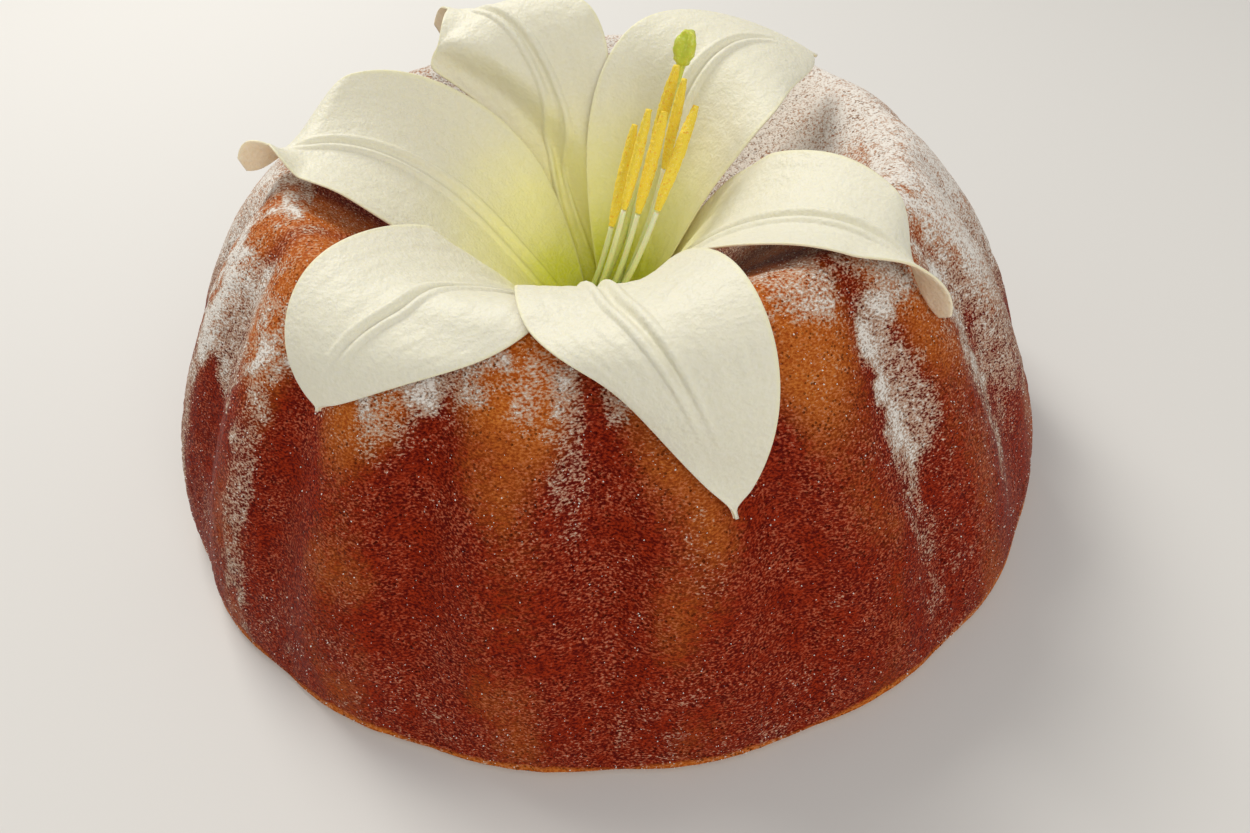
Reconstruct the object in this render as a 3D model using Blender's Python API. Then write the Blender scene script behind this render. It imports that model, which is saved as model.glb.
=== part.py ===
"""A ring cake with a white trumpet lily set in its hole.

The cake is baked in a fluted ring tin and turned out, so it stands on its wide open side. The lily
has six petals, six stamens and a pistil on a short cut stalk, and its petals lie over the crown.
Metres, +Z up, the origin at the middle of the cake's underside.
"""
import bpy
import numpy as np

for leftover in list(bpy.data.objects):
    bpy.data.objects.remove(leftover, do_unlink=True)

MM = 0.001
GAP = 0.45 * MM

# The cake: base, crown ridge, and the hole left by the tin's tube
BASE_RADIUS = 120 * MM
RIDGE_RADIUS = 74 * MM
RIDGE_HEIGHT = 85 * MM
RIDGE_SOFTNESS = 3 * MM
FLANK_ROUNDING = (1.33, 1.43)
FUNNEL_ROUNDING = (1.25, 1.25)
HOLE_TOP_RADIUS = 26 * MM
HOLE_TOP_HEIGHT = 40 * MM
HOLE_FOOT_RADIUS = 20 * MM
HOLE_FLARE = 1 * MM
EDGE_ROUND = 1.5 * MM
SKIN_ROWS = 26

# The flutes of the tin, shallow at the base and deeper on the shoulder
LOBES = 18
LOBE_TURN = np.radians(-101)
LOBE_DEPTH_BASE = 0.4 * MM
LOBE_DEPTH_SHOULDER = 2.4 * MM
SHOULDER_SHARE = 0.6
FURROW_NARROWING = 0.18
CROWN_FADE = 8
STEPS_PER_LOBE = 6

# Slow waves round the ring: how many, how strong and where they start
LOBE_VARIATION = ((2, 0.15, 0.6), (5, 0.10, 2.1))
UNEVENNESS = ((2, 0.5 * MM, 1.0), (3, 0.3 * MM, 4.8))
UNEVEN_FROM = 10 * MM

# The lily: where its petals spring from, and how they are layered
FOOT = (10.8 * MM, 32.4 * MM)
FOOT_HALF_WIDTH = 7.9 * MM
LEAN = -15.6 * MM
WRAP_LIMIT = 1.15
ROLL_FROM = 0.76
SETTLE_SHARE = 0.35
PETAL_THICK = 0.9 * MM
LAYER_STEP = {"inner": -1.0 * MM, "outer": 1.0 * MM}
LAYER_GAP = 1.6 * MM
LAYER_ROUNDS = 4
LAY_ROUNDS = 16
INNER_CLEAR = 3.8 * MM
OUTER_CLEAR = 1.4 * MM
PETAL_CELLS = (10, 20)
FINE = 4

# Each petal: its layer, its azimuth at the foot, further up and at the tip (degrees), the two handles
# and the tip of its midrib's curve (radius and height, millimetres), the widest half-width and where
# along it that is, how blunt its outline is, its hollow across at foot and tip, its tilt and its bias,
# its finger's half-width and where the blade ends, and how far its tip rolls over (degrees)
PETALS = {
    "petal_left": dict(layer="inner", turns=(165, 150, 176), grip=(44, 86), crest=(58, 94), tip=(82, 88),
                       width=26, widest=0.46, blunt=0.70, cup=(-0.22, 0.37), tilt=-0.37, bias=-0.10,
                       finger=(5.6, 0.88), roll=80),
    "petal_front": dict(layer="inner", turns=(285, 260, 286), grip=(37, 78), crest=(89, 124), tip=(85, 54),
                        width=17, widest=0.53, blunt=0.66, cup=(0.23, -0.06), tilt=0.52, bias=0.08,
                        finger=(1.0, 0.98), roll=0),
    "petal_back_right": dict(layer="inner", turns=(45, 53, 37), grip=(34, 93), crest=(35, 114), tip=(76, 91),
                             width=25, widest=0.49, blunt=0.65, cup=(0.05, -0.12), tilt=0.37, bias=0.02,
                             finger=(1.0, 0.985), roll=0),
    "petal_front_left": dict(layer="outer", turns=(225, 249, 227), grip=(32, 82), crest=(77, 102),
                             tip=(82, 67), width=25, widest=0.47, blunt=0.70, cup=(0.38, -0.08),
                             tilt=-0.28, bias=0.07, finger=(1.2, 0.985), roll=0),
    "petal_right": dict(layer="outer", turns=(345, 322, 327), grip=(20, 81), crest=(66, 107), tip=(85, 71),
                        width=20, widest=0.46, blunt=1.04, cup=(0.19, 0.13), tilt=0.17, bias=0.17,
                        finger=(4.6, 0.89), roll=-80),
    "petal_back": dict(layer="outer", turns=(105, 95, 125), grip=(31, 98), crest=(42, 120), tip=(69, 100),
                       width=20, widest=0.68, blunt=1.16, cup=(0.07, -0.14), tilt=-0.28, bias=-0.01,
                       finger=(5.2, 0.88), roll=80),
}

# The stalk and the cup that the petals and stamens grow from: radius and height up its side
STALK = ((3.4, 0.0), (3.4, 18.0), (4.6, 23.0), (8.2, 27.5), (10.9, 30.6), (10.9, 31.5),
         (8.8, 31.9), (8.4, 35.0), (6.6, 38.4), (4.2, 39.6))
STALK_SIDES = 24

# Each stamen: the filament's angle at the cup, then the anther's lower and upper end in millimetres
STAMENS = (
    (215, (3.9, -10.4, 66.9), (10.8, -5.8, 90.8)),
    (245, (7.2, -15.7, 74.3), (13.9, -13.5, 97.6)),
    (278, (10.5, -15.2, 72.7), (17.8, -9.4, 95.1)),
    (308, (14.9, -19.5, 75.4), (25.0, -9.1, 96.0)),
    (340, (17.6, -4.9, 79.0), (22.5, -5.9, 101.0)),
    (10, (15.0, 0.0, 81.5), (21.2, -1.6, 102.6)),
)
FOOT_LIFT = 0.9 * MM
FILAMENT_RING = 5 * MM
FILAMENT_RADIUS = 0.8 * MM
FILAMENT_BEND = 0.45
ANTHER_RADIUS = 1.6 * MM
ANTHER_END = 0.35

# The pistil: its style's foot, middle and upper end, and the stigma's swelling from bottom to top
STYLE = ((0, 2.5, 40.5), (12, 4, 66), (22.5, 3, 101))
STYLE_RADIUS = 1.1 * MM
STIGMA_RADIUS = 2.5 * MM
STIGMA_LENGTH = 8 * MM
STIGMA_RINGS = ((0.12, 0.75, 0.1), (0.4, 1.0, 0.2), (0.75, 0.9, 0.28), (1.0, 0.45, 0.3))


def superellipse(count, rounding):
    """A quarter of a rounded corner from (1, 0) to (0, 1)."""
    angle = np.linspace(0, np.pi / 2, count)
    return np.cos(angle) ** (2 / rounding[0]), np.sin(angle) ** (2 / rounding[1])


def evenly(path, count):
    """A path's points placed again at equal distances along it."""
    run = np.append(0, np.cumsum(np.linalg.norm(np.diff(path, axis=0), axis=1)))
    places = np.linspace(0, run[-1], count)
    return np.stack([np.interp(places, run, values) for values in path.T], -1)


def skin_profile(count):
    """The cake's cut in radius and height: up the flank, over the soft ridge, down into the hole."""
    out, up = superellipse(200, FLANK_ROUNDING)
    flank = np.stack([RIDGE_RADIUS + (BASE_RADIUS - RIDGE_RADIUS) * out, RIDGE_HEIGHT * up], -1)
    down, inward = superellipse(100, FUNNEL_ROUNDING)
    funnel = np.stack([RIDGE_RADIUS - (RIDGE_RADIUS - HOLE_TOP_RADIUS) * inward,
                       HOLE_TOP_HEIGHT + (RIDGE_HEIGHT - HOLE_TOP_HEIGHT) * down], -1)
    wall = np.array([(HOLE_FOOT_RADIUS + HOLE_FLARE, HOLE_TOP_HEIGHT / 2), (HOLE_FOOT_RADIUS, EDGE_ROUND)])
    path = evenly(np.concatenate([flank, funnel[1:], wall]), 400)
    step = np.linalg.norm(path[1] - path[0])
    for _ in range(int(2 * (RIDGE_SOFTNESS / step) ** 2)):
        path[1:-1] = (path[:-2] + 2 * path[1:-1] + path[2:]) / 4
    return evenly(path, count)


def waves(azimuth, terms):
    """The sum of slow waves round the ring."""
    return sum(size * np.sin(number * azimuth + start) for number, size, start in terms)


def lobe_relief(azimuth, radius, height):
    """How far the skin stands out at a place: broad lobes with narrower furrows, and slight unevenness."""
    up = np.clip(height / RIDGE_HEIGHT, 0, 1)
    crown = 1 - up ** CROWN_FADE
    deepening = np.sin(np.pi / 2 * np.clip(up / SHOULDER_SHARE, 0, 1))
    depth = LOBE_DEPTH_BASE + (LOBE_DEPTH_SHOULDER - LOBE_DEPTH_BASE) * deepening
    turn = LOBES * (azimuth - LOBE_TURN)
    lobes = np.cos(turn) - FURROW_NARROWING * np.cos(2 * turn)
    fluted = depth * lobes * (1 + waves(azimuth, LOBE_VARIATION)) * (radius > RIDGE_RADIUS)
    return crown * (fluted + waves(azimuth, UNEVENNESS) * np.clip(height / UNEVEN_FROM, 0, 1))


def add_solid(name, points, faces, colour, roughness):
    """One closed object with its own material, round where its faces meet softly."""
    mesh = bpy.data.meshes.new(name)
    mesh.from_pydata(points.tolist(), [], faces.tolist())
    mesh.shade_smooth()
    mesh.set_sharp_from_angle(angle=np.radians(40))
    material = bpy.data.materials.new(name)
    material.use_nodes = True
    shader = material.node_tree.nodes["Principled BSDF"]
    shader.inputs["Base Color"].default_value = (*colour, 1)
    shader.inputs["Roughness"].default_value = roughness
    shader.inputs["Metallic"].default_value = 0.0
    mesh.materials.append(material)
    bpy.context.collection.objects.link(bpy.data.objects.new(name, mesh))


def ring_faces(rings, around, closed):
    """Triangles between rings of points; closed joins the last ring to the first."""
    i, j = np.meshgrid(np.arange(rings if closed else rings - 1), np.arange(around), indexing="ij")
    beyond, beside = (i + 1) % rings, (j + 1) % around
    a, b, c, d = i * around + j, i * around + beside, beyond * around + beside, beyond * around + j
    return np.concatenate([np.stack([a, b, c], -1).reshape(-1, 3), np.stack([a, c, d], -1).reshape(-1, 3)])


def add_round(name, rings, start, end, colour, roughness):
    """A round solid from rings of points, closed by a cap of triangles at each end."""
    count, sides = rings.shape[:2]
    points = np.concatenate([rings.reshape(-1, 3), [start, end]])
    k = np.arange(sides)
    after = (k + 1) % sides
    last = (count - 1) * sides
    foot, top = (np.full(sides, len(points) - place) for place in (2, 1))
    caps = [np.stack([foot, after, k], -1), np.stack([top, last + k, last + after], -1)]
    faces = np.concatenate([ring_faces(count, sides, closed=False)] + caps)
    add_solid(name, points, faces, colour, roughness)


def build_cake():
    """The ring: its skin's profile turned round with the lobes, and a flat underside."""
    skin = skin_profile(SKIN_ROWS)
    skin[0, 1] = EDGE_ROUND
    outside, inside = (BASE_RADIUS - EDGE_ROUND, 0), (HOLE_FOOT_RADIUS + EDGE_ROUND, 0)
    profile = np.concatenate([[outside], skin, [inside]])
    azimuth = np.linspace(0, 2 * np.pi, LOBES * STEPS_PER_LOBE, endpoint=False)
    radius, height = (np.repeat(values[:, None], len(azimuth), 1) for values in profile.T)
    azimuth = np.broadcast_to(azimuth, radius.shape)
    radius = radius + lobe_relief(azimuth, radius, height)
    points = np.stack([radius * np.cos(azimuth), radius * np.sin(azimuth), height], -1)
    faces = ring_faces(*radius.shape, closed=True)
    add_solid("cake", points.reshape(-1, 3), faces, (0.42, 0.15, 0.04), 0.75)


def ease(x):
    """Rises smoothly from 0 to 1 as x goes from 0 to 1."""
    x = np.clip(x, 0, 1)
    return x * x * (3 - 2 * x)


def bezier(t, handles):
    """The cubic curve from the first of four points to the last."""
    t = t[..., None]
    a, b, c, d = np.array(handles)
    return (1 - t) ** 3 * a + 3 * (1 - t) ** 2 * t * b + 3 * (1 - t) * t ** 2 * c + t ** 3 * d


def petal_half_width(t, width, widest, blunt, finger):
    """A narrow foot, a blade that is widest where it is told, and a small finger at the tip."""
    blade = np.clip(t / finger[1], 0, 1) ** (np.log(0.5) / np.log(widest))
    bulge = np.clip(np.sin(np.pi * blade), 0, 1) ** blunt
    narrowing = 1 - 0.65 * np.clip((t - 0.85) / 0.15, 0, 1) ** 4
    tip = finger[0] * MM * ease((t - 0.5) / 0.4) * narrowing
    return tip + FOOT_HALF_WIDTH * (1 - t) ** 2 + width * MM * bulge


def petal_sheet(s, t, layer, turns, grip, crest, tip, width, widest, blunt, cup, tilt, bias, finger,
                roll):
    """A petal's middle surface at s across (-1 to 1) and t along (0 to 1)."""
    handles = [FOOT] + [(radius * MM, height * MM) for radius, height in (grip, crest, tip)]
    middle = bezier(t, handles)
    along = bezier(np.clip(t + 0.002, 0, 1), handles) - bezier(np.clip(t - 0.002, 0, 1), handles)
    along /= np.linalg.norm(along, axis=-1, keepdims=True)
    half = petal_half_width(t, width, widest, blunt, finger) * (1 + bias * s)
    hollow = (cup[0] * (1 - t) + cup[1] * t) * ease(t / 0.25)
    rolled = np.radians(roll) * ease((t - ROLL_FROM) / (1 - ROLL_FROM))
    lift = half * (hollow * s ** 2 + tilt * t * s * np.cos(rolled) + np.sin(rolled) * s)
    lift = lift - LAYER_STEP[layer] * (1 - t)
    radius = middle[..., 0] - lift * along[..., 1]
    height = middle[..., 1] + lift * along[..., 0]
    at_foot, further_up, at_tip = turns
    settle = np.clip(1 - t / SETTLE_SHARE, 0, 1) ** 2
    heading = np.radians(further_up + (at_tip - further_up) * t + (at_foot - further_up) * settle)
    wrap = half * np.cos(rolled) / np.maximum(middle[..., 0], 1 * MM)
    azimuth = heading + WRAP_LIMIT * np.tanh(wrap / WRAP_LIMIT) * s
    lean = LEAN * (1 - (1 - t) ** 4)
    return np.stack([radius * np.cos(azimuth), radius * np.sin(azimuth) + lean, height], -1)


def sheet_normals(sheet):
    """The upward unit normal at each point of a sheet."""
    normal = np.cross(np.gradient(sheet, axis=0), np.gradient(sheet, axis=1))
    return -normal / np.linalg.norm(normal, axis=-1, keepdims=True)


def soften(field, rounds):
    """Evens out a grid of values by averaging each with its neighbours."""
    for _ in range(rounds):
        wide = np.pad(field, ((1, 1), (1, 1), (0, 0)), mode="edge")
        field = (wide[:-2, 1:-1] + wide[2:, 1:-1] + wide[1:-1, :-2] + wide[1:-1, 2:] + 4 * field) / 8
    return field


def press_under(sheet, upper, gap):
    """Moves a sheet below the sheet that covers it, easing off past the cover's edge."""
    points = sheet.reshape(-1, 3)
    cover, normals = upper.reshape(-1, 3), sheet_normals(upper).reshape(-1, 3)
    nearest = np.concatenate([((block[:, None] - cover) ** 2).sum(-1).argmin(1)
                              for block in np.array_split(points, 12)])
    away = points - cover[nearest]
    above = (away * normals[nearest]).sum(-1)
    aside = np.linalg.norm(away - above[:, None] * normals[nearest], axis=-1)
    reach = np.clip(0.25 * np.hypot(points[:, 0], points[:, 1] - LEAN), 2 * MM, 8 * MM)
    push = np.clip(above + gap, 0, 15 * MM) * ease(1.25 - aside / reach)
    return sheet - 1.1 * soften((push[:, None] * normals[nearest]).reshape(sheet.shape), 10)


def lay_on_cake(sheet, clear):
    """Lifts a sheet until it is clear of the cake's skin."""
    skin = skin_profile(250)
    run = np.gradient(skin, axis=0)
    normal = np.stack([run[:, 1], -run[:, 0]], -1)
    normal /= np.linalg.norm(normal, axis=1, keepdims=True)
    points = sheet.reshape(-1, 3).copy()
    azimuth = np.arctan2(points[:, 1], points[:, 0])
    out = np.stack([np.cos(azimuth), np.sin(azimuth)], -1)
    relief = np.zeros(len(points))
    for _ in range(5):
        cut = np.stack([np.hypot(points[:, 0], points[:, 1]) - relief, points[:, 2]], -1)
        nearest = ((cut[:, None] - skin) ** 2).sum(-1).argmin(1)
        relief = lobe_relief(azimuth, *skin[nearest].T)
        height_over = ((cut - skin[nearest]) * normal[nearest]).sum(-1)
        push = np.clip(clear - height_over, 0, None)[:, None] * normal[nearest]
        points += np.concatenate([push[:, :1] * out, push[:, 1:]], 1)
    return sheet + soften(points.reshape(sheet.shape) - sheet, LAY_ROUNDS)


def build_petal(name, sheet):
    """A thin solid round a sheet, both faces split into triangles alike."""
    middle, normals = (values[::FINE, ::FINE] for values in (sheet, sheet_normals(sheet)))
    across, along = middle.shape[:2]
    lower = across * along
    points = np.concatenate([(middle + side * PETAL_THICK / 2 * normals).reshape(-1, 3) for side in (1, -1)])
    grid = np.arange(lower).reshape(across, along)
    a, b = grid[:-1, :-1].ravel(), grid[1:, :-1].ravel()
    top = np.concatenate([np.stack([a, b + 1, b], -1), np.stack([a, a + 1, b + 1], -1)])
    rim = np.concatenate([grid[0, :-1], grid[:-1, -1], grid[-1, :0:-1], grid[:0:-1, 0]])
    after = np.roll(rim, -1)
    edge = [np.stack([rim, rim + lower, after + lower], -1), np.stack([rim, after + lower, after], -1)]
    faces = np.concatenate([top, top[:, ::-1] + lower] + edge)
    add_solid(name, points, faces, (0.93, 0.92, 0.84), 0.45)


def build_petals():
    """Lays the inner petals on the crown, then the outer ones between them and the cake."""
    s, t = np.meshgrid(np.linspace(-1, 1, PETAL_CELLS[0] * FINE + 1),
                       np.linspace(0, 1, PETAL_CELLS[1] * FINE + 1), indexing="ij")
    sheets = {name: petal_sheet(s, t, **shape) for name, shape in PETALS.items()}
    inner = [name for name, shape in PETALS.items() if shape["layer"] == "inner"]
    for name in inner:
        sheets[name] = lay_on_cake(sheets[name], INNER_CLEAR)
    for name in [name for name in sheets if name not in inner]:
        for _ in range(LAYER_ROUNDS):
            for cover in inner:
                sheets[name] = press_under(sheets[name], sheets[cover], LAYER_GAP)
            sheets[name] = lay_on_cake(sheets[name], OUTER_CLEAR)
    for name, sheet in sheets.items():
        build_petal(name, sheet)


def tube(name, path, radii, sides, colour, roughness, lobes=0.0):
    """A round solid along a path; lobes press three shallow bulges into its cross-section."""
    along = np.gradient(path, axis=0)
    along /= np.linalg.norm(along, axis=1, keepdims=True)
    side = np.cross(along, (0.0, 1.0, 0.0))
    side /= np.linalg.norm(side, axis=1, keepdims=True)
    front = np.cross(along, side)
    turn = np.linspace(0, 2 * np.pi, sides, endpoint=False)[:, None]
    spread = (radii * (1 + lobes * np.cos(3 * turn))).T[..., None]
    rings = path[:, None] + spread * (np.cos(turn) * side[:, None] + np.sin(turn) * front[:, None])
    add_round(name, rings, path[0], path[-1], colour, roughness)


def build_stalk():
    """The green stalk and cup, turned about the upright axis."""
    radii, height = np.array(STALK).T[..., None] * MM
    turn = np.linspace(0, 2 * np.pi, STALK_SIDES, endpoint=False)
    rings = np.stack([radii * np.cos(turn), radii * np.sin(turn), height + 0 * turn], -1)
    add_round("stalk", rings, (0, 0, height[0, 0]), (0, 0, height[-1, 0]), (0.30, 0.42, 0.10), 0.5)


def curve_through(foot, middle, end, count):
    """A curve that leaves foot towards middle and reaches end."""
    t = np.linspace(0, 1, count)[:, None]
    return (1 - t) ** 2 * foot + 2 * (1 - t) * t * middle + t ** 2 * end


def build_stamens():
    """Six pale filaments on the cup, each with a long yellow anther at its end."""
    ring_height = STALK[-1][1] * MM + FOOT_LIFT
    t = np.linspace(0, 1, 9)
    swelling = np.sin(np.pi * np.clip(t, 0.02, 0.98)) ** 0.5
    for number, (angle, low, high) in enumerate(STAMENS, 1):
        low, high = np.array(low) * MM, np.array(high) * MM
        up = (high - low) / np.linalg.norm(high - low)
        turn = np.radians(angle)
        foot = np.array([FILAMENT_RING * np.cos(turn), FILAMENT_RING * np.sin(turn), ring_height])
        end = low - up * GAP
        bend = end - up * FILAMENT_BEND * np.linalg.norm(end - foot)
        path = curve_through(foot, bend, end, 7)
        tube(f"filament_{number}", path, np.full(7, FILAMENT_RADIUS), 6, (0.72, 0.78, 0.42), 0.4)
        radii = ANTHER_RADIUS * (ANTHER_END + (1 - ANTHER_END) * swelling)
        tube(f"anther_{number}", low + (high - low) * t[:, None], radii, 8, (0.85, 0.55, 0.02), 0.8)


def build_pistil():
    """The style, which swells into a stigma of three lobes."""
    style = curve_through(*(np.array(STYLE) * MM), 10)
    up = (style[-1] - style[-2]) / np.linalg.norm(style[-1] - style[-2])
    reach, swelling, folds = np.array(STIGMA_RINGS).T
    path = np.concatenate([style, style[-1] + up * reach[:, None] * STIGMA_LENGTH])
    radii = np.append(np.full(10, STYLE_RADIUS), STIGMA_RADIUS * swelling)
    tube("pistil", path, radii, 12, (0.55, 0.72, 0.08), 0.5, np.append(np.zeros(10), folds))


build_cake()
build_stalk()
build_petals()
build_stamens()
build_pistil()
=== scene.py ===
"""The looks of a fluted ring cake, dusted with icing sugar, with a white lily set in its hole.

Metres, +Z up, the origin at the middle of the cake's underside. The sections follow the order of the
work: the view, the table and light, the baked ring, its sugar, then the lily from its stalk outwards.
"""
import bpy
import numpy as np
from mathutils import Matrix, Vector


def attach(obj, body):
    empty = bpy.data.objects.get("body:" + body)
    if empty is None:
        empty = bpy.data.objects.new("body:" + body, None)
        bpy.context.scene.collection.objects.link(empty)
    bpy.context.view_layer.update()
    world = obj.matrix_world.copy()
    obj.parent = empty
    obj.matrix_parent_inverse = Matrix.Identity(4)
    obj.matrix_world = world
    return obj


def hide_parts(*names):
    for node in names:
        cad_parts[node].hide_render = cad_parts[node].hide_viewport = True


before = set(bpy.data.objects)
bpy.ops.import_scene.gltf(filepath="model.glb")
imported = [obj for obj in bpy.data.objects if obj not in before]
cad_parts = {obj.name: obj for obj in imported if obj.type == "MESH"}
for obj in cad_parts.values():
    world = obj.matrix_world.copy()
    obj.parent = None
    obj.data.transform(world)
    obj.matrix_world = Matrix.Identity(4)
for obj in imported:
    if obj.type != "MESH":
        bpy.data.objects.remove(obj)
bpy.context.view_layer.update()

# The view
# The photograph is taken by hand from the front, from close by and well above the crown, with the
# phone held slightly crooked. Its wide lens makes the crown look large over the base.
MM = 0.001
PHOTO_WIDTH = 1250
FOCAL_PIXELS = 920
SENSOR_WIDTH = 36.0
VIEW_ELEVATION = np.radians(41.65)
VIEW_DISTANCE = 277 * MM
VIEW_ROLL = np.radians(-3.3)
VIEW_AIM = Vector((4.5 * MM, -7.2 * MM, 0))

backwards = Vector((0, -np.cos(VIEW_ELEVATION), np.sin(VIEW_ELEVATION)))
level = Vector((1, 0, 0))
upright = backwards.cross(level)
right = level * np.cos(VIEW_ROLL) + upright * np.sin(VIEW_ROLL)
turned = Matrix((right, backwards.cross(right), backwards)).transposed().to_4x4()
camera = bpy.data.objects.new("camera", bpy.data.cameras.new("camera"))
camera.matrix_world = Matrix.Translation(VIEW_AIM + backwards * VIEW_DISTANCE) @ turned
camera.data.sensor_width = SENSOR_WIDTH
camera.data.lens = FOCAL_PIXELS * SENSOR_WIDTH / PHOTO_WIDTH
camera.data.clip_start = 10 * MM
bpy.context.scene.collection.objects.link(camera)
bpy.context.scene.camera = camera
bpy.context.scene.view_settings.view_transform = "Standard"


# The table and the light
# A plain pale tabletop under a bright even sky. A broad soft lamp stands behind the cake on the left,
# where the sun is in the photograph, and a weaker one fills the front.
class Value:
    """A number or colour that varies over a surface; arithmetic on it adds Math nodes to its finish."""

    def __init__(self, finish, socket):
        self.finish = finish
        self.socket = socket

    def math(self, operation, *terms):
        return self.finish.node("ShaderNodeMath", {"operation": operation}, dict(enumerate(terms)))

    def __add__(self, other):
        return self.math("ADD", self, other)

    def __radd__(self, other):
        return self.math("ADD", other, self)

    def __sub__(self, other):
        return self.math("SUBTRACT", self, other)

    def __rsub__(self, other):
        return self.math("SUBTRACT", other, self)

    def __mul__(self, other):
        return self.math("MULTIPLY", self, other)

    def __rmul__(self, other):
        return self.math("MULTIPLY", other, self)

    def __abs__(self):
        return self.math("ABSOLUTE", self)

    def between(self, low, high):
        """Eased from 0 where the value is at low to 1 where it is at high."""
        settings = {"interpolation_type": "SMOOTHSTEP"}
        sockets = {"Value": self, "From Min": low, "From Max": high}
        return self.finish.node("ShaderNodeMapRange", settings, sockets)


class Finish:
    """A material worked out by expressions on values, with one principled shader."""

    def __init__(self, name, **constants):
        self.material = bpy.data.materials.new(name)
        self.material.use_nodes = True
        self.tree = self.material.node_tree
        self.shader = self.tree.nodes["Principled BSDF"]
        for socket, value in constants.items():
            self.shader.inputs[socket.replace("_", " ")].default_value = value

    def node(self, kind, settings, sockets, output=0):
        """Adds a node of a kind: first its settings, then the values or links of its sockets."""
        made = self.tree.nodes.new(kind)
        for name, value in settings.items():
            setattr(made, name, value)
        for socket, value in sockets.items():
            if isinstance(value, Value):
                self.tree.links.new(value.socket, made.inputs[socket])
            else:
                made.inputs[socket].default_value = value
        return Value(self, made.outputs[output])

    def place(self):
        return self.node("ShaderNodeTexCoord", {}, {}, "Object")

    def noise(self, size, detail=2.0, where=None):
        """Cloudy noise about 0.5 with lumps of a size in metres."""
        sockets = {"Vector": where or self.place(), "Scale": 1 / size, "Detail": detail}
        return self.node("ShaderNodeTexNoise", {}, sockets)

    def cells(self, size):
        """The distance from the middle of the nearest of many scattered cells, in cell sizes."""
        sockets = {"Vector": self.place(), "Scale": 1 / size}
        return self.node("ShaderNodeTexVoronoi", {}, sockets, "Distance")

    def attribute(self, name):
        return self.node("ShaderNodeAttribute", {"attribute_name": name}, {}, "Fac")

    def mix(self, share, below, above):
        """The colour below with a share of the colour above laid over it."""
        below, above = (c if isinstance(c, Value) else (*c, 1) for c in (below, above))
        return self.node("ShaderNodeMix", {"data_type": "RGBA"}, {0: share, 6: below, 7: above}, 2)

    def feed(self, socket, value):
        self.tree.links.new(value.socket, self.shader.inputs[socket])

    def relief(self, height):
        """Bumps of a height in metres."""
        bump = self.node("ShaderNodeBump", {}, {"Strength": 1.0, "Distance": 1.0, "Height": height})
        self.feed("Normal", bump)


TABLE_SPREAD = 3.0
TABLE_DROP = 0.1 * MM
TABLE_COLOUR = (0.66, 0.65, 0.63)
SKY_COLOUR = (1.0, 0.98, 0.95)
SKY_STRENGTH = 0.45
LAMPS = (
    # name, where from, how wide, power, colour
    ("sun_side_lamp", (-0.42, 0.66, 0.98), 0.45, 10.5, (1.0, 0.97, 0.91)),
    ("front_lamp", (0.35, -1.00, 0.75), 0.90, 6.0, (1.0, 0.98, 0.96)),
)

table_mesh = bpy.data.meshes.new("table")
corners = [(x * TABLE_SPREAD, y * TABLE_SPREAD, -TABLE_DROP)
           for x, y in ((-1, -1), (1, -1), (1, 1), (-1, 1))]
table_mesh.from_pydata(corners, [], [(0, 1, 2, 3)])
table = bpy.data.objects.new("table", table_mesh)
bpy.context.scene.collection.objects.link(table)
table_paint = Finish("table_paint", Base_Color=(*TABLE_COLOUR, 1), Roughness=0.7)
table.data.materials.append(table_paint.material)

sky = bpy.data.worlds.new("sky")
sky.use_nodes = True
sky.node_tree.nodes["Background"].inputs["Color"].default_value = (*SKY_COLOUR, 1)
sky.node_tree.nodes["Background"].inputs["Strength"].default_value = SKY_STRENGTH
bpy.context.scene.world = sky

for name, place, width, power, colour in LAMPS:
    lamp = bpy.data.objects.new(name, bpy.data.lights.new(name, "AREA"))
    lamp.data.size = width
    lamp.data.energy = power
    lamp.data.color = colour
    lamp.location = place
    lamp.rotation_euler = (-Vector(place)).to_track_quat("-Z", "Y").to_euler()
    bpy.context.scene.collection.objects.link(lamp)


# The baked ring
# A rich vanilla batter baked in a fluted ring tin and turned out. Where it touched the tin it has a
# thin red-brown crust full of fine pores; the open side, now underneath, shows the pale crumb.
BASE_RADIUS = 120 * MM
RIDGE_RADIUS = 74 * MM
RIDGE_HEIGHT = 85 * MM
RIDGE_SOFTNESS = 3 * MM
FLANK_ROUNDING = (1.33, 1.43)
FUNNEL_ROUNDING = (1.25, 1.25)
HOLE_TOP_RADIUS = 26 * MM
HOLE_TOP_HEIGHT = 40 * MM
HOLE_FOOT_RADIUS = 20 * MM
HOLE_FLARE = 1 * MM
EDGE_ROUND = 1.5 * MM
LOBES = 18
LOBE_TURN = np.radians(-101)
LOBE_DEPTH_BASE = 0.4 * MM
LOBE_DEPTH_SHOULDER = 2.4 * MM
SHOULDER_SHARE = 0.6
FURROW_NARROWING = 0.18
CROWN_FADE = 8
LOBE_VARIATION = ((2, 0.15, 0.6), (5, 0.10, 2.1))
UNEVENNESS = ((2, 0.5 * MM, 1.0), (3, 0.3 * MM, 4.8))
UNEVEN_FROM = 10 * MM
SKIN_ROWS = 118
UNDERSIDE_ROWS = 18
ROUND_STEPS = 720
LATTICE = 64


def superellipse(count, rounding):
    """A quarter corner from (1, 0) to (0, 1): cosine and sine of the angle, each to 2 over its rounding."""
    angle = np.linspace(0, np.pi / 2, count)
    return np.cos(angle) ** (2 / rounding[0]), np.sin(angle) ** (2 / rounding[1])


def evenly(path, count):
    """A path's points placed again at equal distances along it."""
    run = np.append(0, np.cumsum(np.linalg.norm(np.diff(path, axis=0), axis=1)))
    places = np.linspace(0, run[-1], count)
    return np.stack([np.interp(places, run, values) for values in path.T], -1)


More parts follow.
